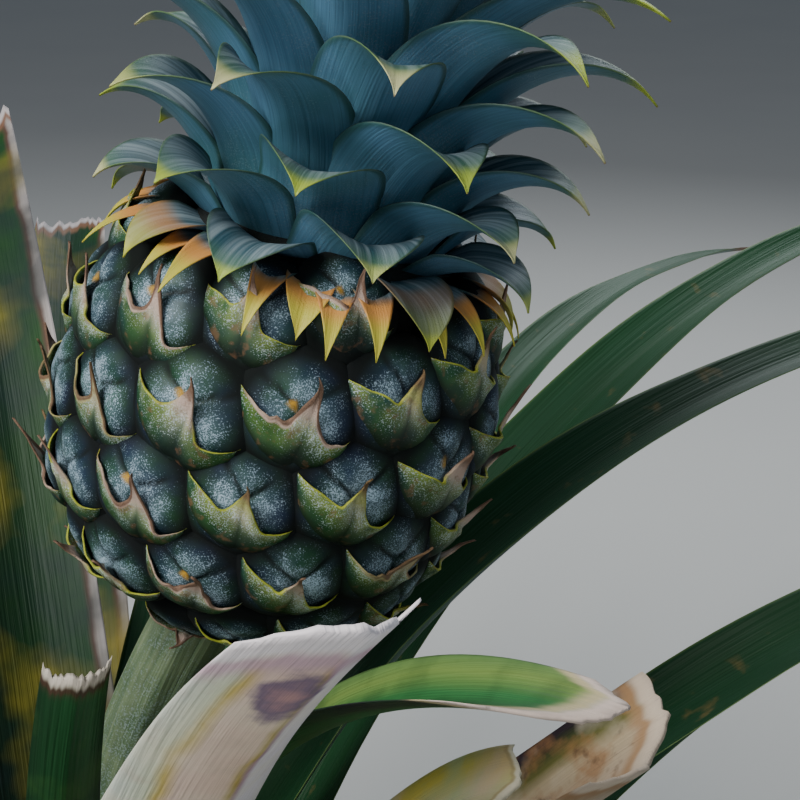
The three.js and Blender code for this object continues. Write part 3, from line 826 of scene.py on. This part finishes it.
def make_rind():
    """The ground under the fruitlets, painted near black as the shade deep in the grooves between them."""
    last = FRUIT_HALF_LENGTH * 0.999

    def height(t):
        return -last * math.cos(math.pi * t)

    points, faces, _ = upright_tube(RIND_GRID, height, lambda t, turn: fruit_radius(height(t)))
    # painted shade: the rind's near-black colour stands in for the shade at the bottom of the grooves
    material = plain_finish(
        "rind_ground", (0.003, 0.006, 0.005), 0.8, [((0.006, 0.012, 0.008), 0.01, 0.4, 0.8)], 0.0007, 0.0003)
    seat("rind", "rind", ["fruit"], points, faces, material, place=TO_FRUIT)


def cell_part(x, y):
    """0 in the middle of a fruitlet's six-sided cell and 1 halfway to each of its neighbours."""
    total = 0
    for steps in EYE_NEIGHBOURS:
        turned = (steps * EYE_TURN + math.pi) % (2 * math.pi) - math.pi
        to_next = np.array([turned * FRUIT_RADIUS, steps * EYE_RISE]) * EYE_FLARE
        total = total + np.abs(2 * (x * to_next[0] + y * to_next[1]) / to_next.dot(to_next)) ** EYE_SQUARENESS
    return total ** (1 / EYE_SQUARENESS)


def dome_height(x, y):
    """How far a fruitlet stands out of the rind."""
    flat, steep = EYE_DOME
    return EYE_DEPTH * (1 - np.minimum(1, cell_part(x, y) / EYE_SPREAD) ** flat) ** steep


def eye_shape(variant):
    """One fruitlet: a low dome with the creases between its dried flower's three sepals."""
    draw = random.Random(100 + variant)
    rings, sectors = EYE_GRID
    heart = np.array([draw.uniform(-1, 1) * MM, draw.uniform(1.0, 3.0) * MM])
    creases = [draw.uniform(28, 48), draw.uniform(125, 150), draw.uniform(262, 278)]
    part = np.linspace(0, 1, rings + 1)[1:] ** 0.8
    turn = np.arange(sectors) * 2 * math.pi / sectors
    reach = EYE_SPREAD / cell_part(np.cos(turn), np.sin(turn))
    x = np.concatenate([[0], np.outer(part, np.cos(turn) * reach).ravel()])
    y = np.concatenate([[0], np.outer(part, np.sin(turn) * reach).ravel()])
    rho = cell_part(x, y) / EYE_SPREAD
    z = dome_height(x, y)
    from_heart = np.hypot(x - heart[0], y - heart[1])
    way = np.arctan2(y - heart[1], x - heart[0])
    crease = np.zeros_like(x)
    for angle in creases:
        apart = np.abs((way - angle * DEGREE + math.pi) % (2 * math.pi) - math.pi)
        distance = from_heart * np.sin(np.minimum(apart, math.pi / 2))
        line = peak(distance, 0.7 * MM) * smooth_step(0, 2 * MM, from_heart)
        crease = np.maximum(crease, line * (1 - smooth_step(0.6, 0.9, rho)))
    swell = np.cos(3 * (way - (creases[0] + 60) * DEGREE)) * smooth_step(1 * MM, 8 * MM, from_heart) * (1 - rho ** 2)
    z = z + 0.6 * MM * swell - 0.9 * MM * crease - 0.9 * MM * peak(from_heart, 1.6 * MM)
    z[rho > 0.999] = -1.5 * MM
    points = np.stack([x, y, z], -1)
    faces = []
    for i in range(sectors):
        faces.append((0, 1 + i, 1 + (i + 1) % sectors))
        for ring in range(rings - 1):
            p = 1 + ring * sectors + i
            q = 1 + ring * sectors + (i + 1) % sectors
            faces.append((p, p + sectors, q + sectors, q))
    last = 1 + (rings - 1) * sectors
    faces.append(tuple(last + i for i in reversed(range(sectors))))
    fields = {
        "rise": np.clip(z / EYE_DEPTH, 0, 1.2),
        "crease": crease,
        "heart": peak(np.hypot(x - heart[0] + 2.5 * MM, y - heart[1] - 1 * MM), 1.3 * MM, 4),
    }
    return make_mesh(f"eye_shape_{variant}", points, faces, fields=fields)


def bract_shape(variant):
    """The leafy scale over a fruitlet's lower half. Its wiry margin starts high at one corner, sags in two
    arcs, lower on the other side, and rises between them to a thorn that stands out and curls."""
    draw = random.Random(200 + variant)
    half = BRACT_HALF_WIDTH
    rows, columns = BRACT_GRID
    middle = draw.uniform(0.02, 0.30)
    thorn_length = draw.uniform(13, 20) * MM
    thorn_width = draw.uniform(0.40, 0.54)
    lean = draw.uniform(-4, 6) * MM
    sag_high = draw.uniform(0.5, 2.5) * MM
    sag_low = draw.uniform(3.0, 5.5) * MM
    s = np.linspace(-1, 1, columns + 1)
    s = np.sign(s) * (0.45 * np.abs(s) + 0.55 * np.abs(s) ** 1.8)
    u = middle + np.where(s < 0, middle + 1, 1 - middle) * s
    v = (np.linspace(0, 1, rows + 1) ** 0.85)[:, None]
    line = -BRACT_CORNER_RISE * u
    arc = np.maximum(0, 1 - u ** 2)
    foot_y = line * 0.6 - BRACT_HEIGHT * arc ** 0.60
    withered = float(variant in WITHERED_BRACTS)
    ripple = (0.35 + 0.5 * withered) * MM * wander(variant, (u + 1) / 2) * arc
    ripple = ripple - withered * 2.2 * MM * ragged(variant, (u + 1) / 2, 19) * arc
    bare_y = line - between(sag_high, sag_low, smooth_step(-0.5, 0.6, u)) * arc ** 0.7 + ripple
    spike = np.maximum(0, 1 - np.abs(u - middle) / thorn_width) ** 2.2
    margin_y = bare_y + thorn_length * spike
    bent = lean * (spike * v) ** 1.5 + 2.5 * MM * (spike * v) ** 3 * np.sin(5 * spike * v + variant)
    x = half * u + 0 * v - (u - middle) * half * 0.25 * spike * v + bent
    y = foot_y + (margin_y - foot_y) * v
    over = np.maximum(0, y - bare_y)  # how far up the thorn
    plain = dome_height(x - bent, np.minimum(y, bare_y))
    curl = smooth_step(0.5, 1.0, v) * arc ** 0.8 * (2.0 + 0.6 * np.cos(u * 8 + variant)) * MM
    body = (0.3 + 1.1 * np.sin(np.minimum(1, v * 1.3) * math.pi * 0.6)) * MM * arc ** 0.5
    on_thorn = smooth_step(0, 3 * MM, over)
    stand = over * draw.uniform(0.05, 0.12) + draw.uniform(1.5, 4.5) * MM * (over / thorn_length) ** 2.5
    z = plain + body + curl + stand - 0.42 * np.abs(x - bent - middle * half) * on_thorn
    z = z + 0.8 * MM * peak(u - middle, 0.18) * smooth_step(0.15, 0.8, v) * (1 - on_thorn)
    z = z - 3.5 * MM * (1 - v) ** 9
    rim = smooth_step(0.92, 1.0, v) * 0.30 * MM
    thick = (0.5 - 0.2 * v) * MM + rim + 0 * x
    inner = np.stack([x, y, z + rim * 0.6], -1)
    outer = np.stack([x, y, z - thick], -1)
    both = lambda values: twice(values, x.shape)
    base = 7 * MM * spike ** 0.5 * v ** 2
    dried = smooth_step(0.82, 0.95, v) * arc ** 0.5  # a brown torn margin
    fields = {
        "margin": both(v),
        "thorn": both(np.clip((over + base) / (thorn_length + 7 * MM) + 0.7 * withered * dried, 0, 1)),
        "keel": both(peak((u - middle) * half, 1.8 * MM + 3.2 * MM * v) * smooth_step(0.05, 0.7, v)),
        "low": both(1 - v),
    }
    faces = slab_faces(rows, columns)[:, ::-1]
    return make_mesh(f"bract_shape_{variant}", slab_points(inner, outer), faces, fields=fields)


def make_spiral_tree():
    """Copies of a collection's shapes on a fruit's rind, along a spiral."""
    group = Group("fruitlet_spiral", "GeometryNodeTree", "Geometry", "Geometry", {
        "Geometry": "Geometry", "Shapes": "Collection", "Count": 50, "First Height": 0.0, "Rise": EYE_RISE,
        "First Azimuth": 0.0, "Turn": EYE_TURN, "Radius": FRUIT_RADIUS, "Half Length": FRUIT_HALF_LENGTH,
        "Squareness": FRUIT_SQUARENESS, "Seed": EYE_SEED, "Roughen": 0.6 * MM, "Finish": "Material"})
    given, calc, add = group.given, group.calc, group.add
    index = add("GeometryNodeInputIndex")[0]
    z = calc("MULTIPLY_ADD", index, given["Rise"], given["First Height"])
    azimuth = calc("MULTIPLY_ADD", index, given["Turn"], given["First Azimuth"])

    def radius_at(height):
        part = calc("POWER", calc("ABSOLUTE", calc("DIVIDE", height, given["Half Length"])), given["Squareness"])
        left = calc("MAXIMUM", calc("SUBTRACT", 1.0, part), 0.0)
        return group.times(given["Radius"], calc("POWER", left, calc("DIVIDE", 1.0, given["Squareness"])))

    def chance(low, high, extra):
        seed = calc("ADD", given["Seed"], float(extra))
        return add("FunctionNodeRandomValue", {2: low, 3: high, "Seed": seed}, data_type="FLOAT")[1]

    radius = radius_at(z)
    step = 0.5 * MM
    slope = calc("SUBTRACT", radius_at(calc("ADD", z, step)), radius_at(calc("SUBTRACT", z, step)))
    slope = calc("DIVIDE", slope, -2 * step)
    cosine, sine = calc("COSINE", azimuth), calc("SINE", azimuth)
    place = group.vector(group.times(radius, cosine), group.times(radius, sine), z)
    facing = add("FunctionNodeAxesToRotation", {0: group.vector(cosine, sine, slope), 1: group.vector(0.0, 0.0, 1.0)},
                 primary_axis="Z", secondary_axis="Y")[0]
    points = add("GeometryNodePoints", {"Count": given["Count"], "Position": place})[0]
    shapes = add("GeometryNodeCollectionInfo", {
        "Collection": given["Shapes"], "Separate Children": True, "Reset Children": True})[0]
    girth = calc("POWER", calc("DIVIDE", radius, given["Radius"]), 0.45)
    copies = add("GeometryNodeInstanceOnPoints", {
        "Points": points, "Instance": shapes, "Pick Instance": True,
        "Instance Index": calc("FLOOR", chance(0.0, EYE_SHAPES - 0.001, 2)),
        "Rotation": facing, "Scale": group.times(girth, chance(0.95, 1.05, 1))})[0]
    tilt = group.vector(0.0, 0.0, chance(-0.05, 0.05, 3))
    turned = add("GeometryNodeRotateInstances", {"Instances": copies, "Rotation": tilt})[0]
    lotted = add("GeometryNodeStoreNamedAttribute", {
        "Geometry": turned, "Name": "lot", "Value": chance(0.0, 1.0, 4)}, data_type="FLOAT", domain="INSTANCE")[0]
    real = add("GeometryNodeRealizeInstances", {"Geometry": lotted})[0]
    uneven = group.noise(add("GeometryNodeInputPosition")[0], 110.0, 3.0, "Color")
    uneven = add("ShaderNodeVectorMath", {0: uneven, 1: (0.5, 0.5, 0.5)}, operation="SUBTRACT")[0]
    push = add("ShaderNodeVectorMath", {0: uneven, "Scale": given["Roughen"]}, operation="SCALE")[0]
    roughened = add("GeometryNodeSetPosition", {"Geometry": real, "Offset": push})[0]
    group.feed(group.result, add("GeometryNodeSetMaterial", {"Geometry": roughened, "Material": given["Finish"]})[0])
    return group.tree


def run_tree(name, tree, values):
    """Runs a geometry tree with the values of its named inputs, and gives the plain mesh that it makes."""
    holder = show(name, bpy.data.meshes.new(name))
    modifier = holder.modifiers.new("make", "NODES")
    modifier.node_group = tree
    for item in tree.interface.items_tree:
        if item.item_type == "SOCKET" and item.in_out == "INPUT" and item.name in values:
            modifier[item.identifier] = values[item.name]
    holder.update_tag()
    bpy.context.view_layer.update()
    evaluated = holder.evaluated_get(bpy.context.evaluated_depsgraph_get())
    mesh = bpy.data.meshes.new_from_object(evaluated)
    mesh.name = name
    holder.modifiers.remove(modifier)
    bpy.data.objects.remove(holder)
    return mesh


def shape_collection(name, meshes):
    """A collection of shapes for a tree to copy, which isn't shown itself."""
    made = bpy.data.collections.new(name)
    for mesh in meshes:
        made.objects.link(bpy.data.objects.new(mesh.name, mesh))
    return made


def drop_collection(collection):
    for shape in list(collection.objects):
        bpy.data.objects.remove(shape)
    bpy.data.collections.remove(collection)


def make_fruitlets():
    lowest = math.ceil((EYE_LOWEST - EYE_FIRST_HEIGHT) / EYE_RISE)
    highest = math.floor((EYE_HIGHEST - EYE_FIRST_HEIGHT) / EYE_RISE)
    tree = make_spiral_tree()
    for name, shape, material, roughen in (
            ("fruitlets", eye_shape, eye_finish(), EYE_ROUGHNESS),
            ("bracts", bract_shape, bract_finish(), BRACT_ROUGHNESS)):
        shapes = shape_collection(name + "_shapes", [shape(variant) for variant in range(EYE_SHAPES)])
        mesh = run_tree(name, tree, {
            "Shapes": shapes, "Count": highest - lowest + 1, "First Height": EYE_FIRST_HEIGHT + lowest * EYE_RISE,
            "First Azimuth": EYE_FIRST_AZIMUTH + lowest * EYE_TURN, "Roughen": roughen, "Finish": material})
        drop_collection(shapes)
        mesh.transform(TO_FRUIT)
        seat_piece(show(name, mesh), "rind", [])


# Crown and leaves


def crown_blade(draw, **own):
    """A whole leaf in the fruit's frame."""
    return SimpleNamespace(
        **own, sweep=0, reach=CROWN_WHOLE, ripple=lambda t, across: 0 * t, tear=lambda across: 0 * across,
        is_cut=0, rim=MM, lot=draw.random() * 9)


def crown_leaf(index):
    swell, widening = CROWN_SWELL
    foot_up = along_pairs(CROWN_FOOT, index) * MM
    foot_out = along_pairs(CROWN_CORE, foot_up / MM) * MM - CROWN_SINK
    span_out = along_pairs(CROWN_TIP_OUT, index) * MM - foot_out
    span_up = along_pairs(CROWN_TIP_UP, index) * MM - foot_up
    start = along_pairs(CROWN_START, index) * DEGREE
    end = start + (CROWN_BEND + 1) * (math.atan2(span_out, span_up) - start)
    straight = SimpleNamespace(out=0, up=0, start=start, end=end, bend=CROWN_BEND, length=1)
    reached_out, reached_up, _ = middle_line(straight, np.array(1.0))
    return crown_blade(
        random.Random(300 + index), start=start, end=end, bend=CROWN_BEND,
        azimuth=CROWN_FIRST_AZIMUTH + index * TURN, out=foot_out, up=foot_up,
        length=math.hypot(span_out, span_up) / math.hypot(reached_out, reached_up),
        width=along_pairs(CROWN_WIDTH, index) * MM, channel=CROWN_CHANNEL, flesh=CROWN_FLESH,
        outline=lambda t: taper(t, CROWN_TAPER) * (swell + widening * t), ripe=max(0.0, 1 - index / CROWN_RIPE))


def shoulder_leaf(step):
    """A short pointed leaf that hangs over the fruit's shoulder."""
    draw = random.Random(400 + step)
    end = draw.uniform(148, 172) * DEGREE
    length = draw.uniform(31, 39) * MM
    width = draw.uniform(14, 19) * MM
    return crown_blade(
        draw, start=SHOULDER_START, end=end, bend=1.2, azimuth=CROWN_FIRST_AZIMUTH - step * TURN, out=SHOULDER_OUT,
        up=SHOULDER_UP - step * SHOULDER_DROP, length=length, width=width, channel=0.25, flesh=1.2 * MM,
        outline=lambda t: taper(t, SHOULDER_TAPER), ripe=1.0)


def make_crown():
    finish = crown_finish()
    for tier, indices in CROWN_TIERS.items():
        made = [blade(crown_leaf(index), CROWN_GRID) for index in indices]
        if tier == "low":
            made += [blade(shoulder_leaf(step), SHOULDER_GRID) for step in range(1, SHOULDER_LEAVES + 1)]
        name = f"crown_{tier}_leaves"
        nodes = ["crown"] if tier == "low" else []
        seat(name, "crown", nodes, material=finish, place=TO_FRUIT, **joined(made))
    rings = len(CROWN_CORE) - 1
    points, faces, _ = upright_tube(
        (rings, CORE_SIDES), lambda t: CROWN_CORE[round(t * rings)][0] * MM,
        lambda t, turn: max(0.1, CROWN_CORE[round(t * rings)][1]) * MM)
    material = plain_finish(
        "crown_core", (0.02, 0.05, 0.03), 0.7, [((0.05, 0.09, 0.04), 0.01, 0.5, 0.6)], 0.0008, 0.0003)
    seat("crown_core", "crown", [], points, faces, material, place=TO_FRUIT)


def rosette_leaf(number):
    part = (number - 1) / (LEAF_COUNT - 1)
    eased = part ** LEAF_EASE
    lowest, middle, youngest = LEAF_LENGTHS
    own = dict(
        azimuth=LEAF_FIRST_AZIMUTH + (number - 1) * TURN / DEGREE,
        start=between(*LEAF_STARTS, eased), end=between(*LEAF_ENDS, part), bend=1,
        length=lowest + middle * math.sin(math.pi * eased) ** LEAF_EASE + youngest * part,
        sweep=LEAF_SWAY * math.sin(number * TURN), width=LEAF_WIDTH / MM, reach=LEAF_WHOLE)
    own.update(TENDED.get(number, {}))
    up = between(LEAF_LOWEST, LEAF_HIGHEST, part)
    length = own["length"] * MM
    is_cut = own["reach"] < CUT_REACH
    draw = random.Random(number)
    phase = draw.uniform(0, 6)
    wave = DRY_WAVE_HEIGHT if number in DRY_LEAVES else LEAF_WAVE_HEIGHT
    long, short = LEAF_WAVES

    def ripple(t, across):
        swing = np.sin(t * length / long + phase) + 0.6 * np.sin(t * length / short + 2 * phase + across)
        return wave * swing * across ** 2 * np.minimum(1, t * 4)

    def tear(across):
        """The part of its length that the leaf has lost at places across it."""
        if not is_cut:
            return 0 * across
        jags = lambda seed, knots, depth: ragged(seed, (across + 1) / 2, knots) * depth
        if number not in TORN_ENDS:
            return (jags(number, 23, 10) + jags(number + 50, 7, 16)) * MM / length
        return (along_pairs(TORN_ENDS[number], across) + jags(number, 31, 3) + jags(number + 50, 11, 3)) * MM / length

    return SimpleNamespace(
        azimuth=own["azimuth"] * DEGREE, start=own["start"] * DEGREE, end=own["end"] * DEGREE,
        sweep=own["sweep"] * DEGREE, length=length, width=own["width"] * MM,
        reach=own["reach"], out=stem_radius(up) + LEAF_SEAT, up=up, bend=own["bend"], channel=LEAF_CHANNEL,
        outline=lambda t: taper(t, LEAF_TAPER) * (1 + LEAF_SHEATH_FLARE * peak(t * length, LEAF_SHEATH)),
        flesh=LEAF_FLESH, ripple=ripple, tear=tear, is_cut=float(is_cut), rim=TORN_RIMS.get(number, PLAIN_RIM) * MM,
        lot=draw.random() * 9, ripe=0.0)


def torn_finishes():
    """The finishes of the leaves beside the fruit that were cut, bruised or dried."""
    bruised = banded_finish(
        "bruised_leaf",
        ((-1, (0.66, 0.72, 0.64)), (-0.76, (0.66, 0.70, 0.52)), (-0.66, (0.62, 0.48, 0.14)),
         (-0.54, (0.84, 0.64, 0.54)), (-0.12, (0.80, 0.60, 0.48)), (-0.03, (0.46, 0.34, 0.06)),
         (0.04, (0.36, 0.20, 0.32)), (0.12, (0.84, 0.78, 0.84)), (1, (0.86, 0.80, 0.84))),
        ((PINK_TAN, 0.02, 0.3, 3.0, 0.4), ((0.85, 0.78, 0.62), 0.03, 0.35, 8.0, 0.4)),
        (0.90, 0.84, 0.88), (0.62, 0.42, 0.52),
        [((-0.0045, 0.319), (0.0068, 0.0150), (0.14, 0.09, 0.20), (0.58, 0.33, 0.32))], grain=0.12)
    pale = banded_finish(
        "pale_torn_leaf",
        ((-1, (0.34, 0.44, 0.36)), (0.3, (0.46, 0.56, 0.46)), (0.62, (0.44, 0.50, 0.46)),
         (0.78, (0.36, 0.27, 0.46)), (0.88, LILAC), (1, (0.74, 0.70, 0.76))),
        ((CREAM, 0.03, 0.4, 5.0, 0.4),), LILAC, LILAC, grain=0.2)
    stub = banded_finish(
        "green_stub",
        ((-1, (0.004, 0.035, 0.010)), (-0.2, (0.010, 0.080, 0.022)), (0.5, (0.014, 0.11, 0.03)),
         (1, (0.004, 0.03, 0.01))),
        (((0.06, 0.16, 0.03), 0.02, 0.3, 3.0, 0.4),), (0.55, 0.50, 0.42), (0.07, 0.03, 0.02), grain=0.7)
    fading = banded_finish(
        "fading_leaf",
        ((-1, (0.14, 0.24, 0.16)), (-0.4, (0.40, 0.38, 0.20)), (0.3, (0.40, 0.40, 0.22)), (0.8, (0.42, 0.36, 0.06)),
         (1, (0.30, 0.28, 0.05))),
        (((0.24, 0.34, 0.20), 0.02, 0.45, 3.0, 0.6), (PINK_TAN, 0.025, 0.35, 9.0, 0.5)),
        (0.50, 0.46, 0.34), (0.30, 0.24, 0.12), grain=0.3)
    greening = banded_finish(
        "half_green_leaf",
        ((-1, (0.012, 0.014, 0.016)), (-0.72, (0.014, 0.030, 0.016)), (-0.5, (0.012, 0.10, 0.025)),
         (0.2, (0.030, 0.16, 0.045)), (0.7, (0.16, 0.26, 0.06)), (1, (0.10, 0.20, 0.06))),
        (((0.010, 0.05, 0.014), 0.02, 0.4, 3.0, 0.5),), (0.58, 0.48, 0.42), (0.50, 0.42, 0.26), grain=0.4)
    tan = banded_finish(
        "tan_leaf",
        ((-1, (0.40, 0.30, 0.20)), (0.1, (0.50, 0.39, 0.29)), (0.55, (0.46, 0.37, 0.24)), (0.72, (0.12, 0.12, 0.03)),
         (0.86, (0.035, 0.045, 0.014)), (0.94, (0.018, 0.012, 0.018)), (1, (0.03, 0.018, 0.026))),
        (((0.30, 0.15, 0.06), 0.012, 0.32, 3.0, 0.7), ((0.62, 0.54, 0.44), 0.025, 0.42, 7.0, 0.6),
         (DARK_BROWN, 0.006, 0.14, 9.0, 0.8)),
        (0.56, 0.46, 0.36), (0.34, 0.20, 0.10), roughness=0.7, grain=0.4)
    browned = banded_finish(
        "browned_leaf",
        ((-1, (0.50, 0.46, 0.46)), (-0.90, (0.40, 0.36, 0.34)), (-0.82, (0.12, 0.06, 0.04)),
         (-0.72, (0.010, 0.065, 0.010)), (0.1, (0.005, 0.036, 0.008)), (1, (0.004, 0.024, 0.007))),
        (((0.32, 0.26, 0.02), 0.07, 0.38, 3.0, 0.85), ((0.006, 0.018, 0.022), 0.05, 0.45, 5.0, 0.7)),
        (0.55, 0.50, 0.50), (0.20, 0.10, 0.06), grain=0.5)
    return {24: browned, 25: tan, 28: pale, 30: fading, 33: bruised, 36: stub, 37: browned, 38: greening}


def make_leaves():
    green = leaf_finish()
    dry = dry_finish()
    special = torn_finishes()
    for number in range(1, LEAF_COUNT + 1):
        leaf = rosette_leaf(number)
        is_dry = number in DRY_LEAVES
        material = special.get(number, dry if is_dry else green)
        shape = blade(leaf, TORN_GRID if leaf.is_cut else WHOLE_GRID)
        slot = "dry_leaf" if is_dry else "leaf"
        seat(f"blade_{number:02d}", slot, [f"leaf_{number:02d}"], material=material, **shape)


# Floor, light and camera


def make_stage():
    size = FLOOR_HALF_SIZE
    corners = [(-size, -size, 0), (size, -size, 0), (size, size, 0), (-size, size, 0)]
    floor = Finish("pale_floor", (0.62, 0.62, 0.60), 0.9)
    floor.layer((0.58, 0.58, 0.57), floor.blotches(0.4, 0.5, 0.2), 0.5)
    show("floor", make_mesh("floor", corners, [(0, 1, 2, 3)], floor.done()))
    world = bpy.data.worlds.new("studio")
    world.use_nodes = True
    sky = world.node_tree.nodes["Background"].inputs
    sky["Color"].default_value = SKY_COLOUR
    sky["Strength"].default_value = SKY_STRENGTH
    bpy.context.scene.world = world
    for name, place, size, energy, colour in LIGHTS:
        lamp = bpy.data.lights.new(name, "AREA")
        lamp.size, lamp.energy, lamp.color = size, energy, colour
        holder = show(name, lamp)
        holder.location = place
        holder.rotation_euler = (FRUIT_CENTRE - Vector(place)).to_track_quat("-Z", "Y").to_euler()


def make_camera():
    aim = FRUIT_CENTRE + Vector((CAMERA_ASIDE, 0, 0))
    lens = bpy.data.cameras.new("camera")
    lens.lens, lens.sensor_width, lens.clip_start = CAMERA_LENS, CAMERA_FRAME, CAMERA_NEAR
    camera = show("camera", lens)
    camera.location = aim + CAMERA_DISTANCE * Vector((0, -math.cos(CAMERA_DOWN), math.sin(CAMERA_DOWN)))
    camera.rotation_euler = (math.pi / 2 - CAMERA_DOWN, 0, 0)
    bpy.context.scene.camera = camera


make_camera()
make_stage()
make_stem()
make_stalk()
make_rind()
make_fruitlets()
make_crown()
make_leaves()
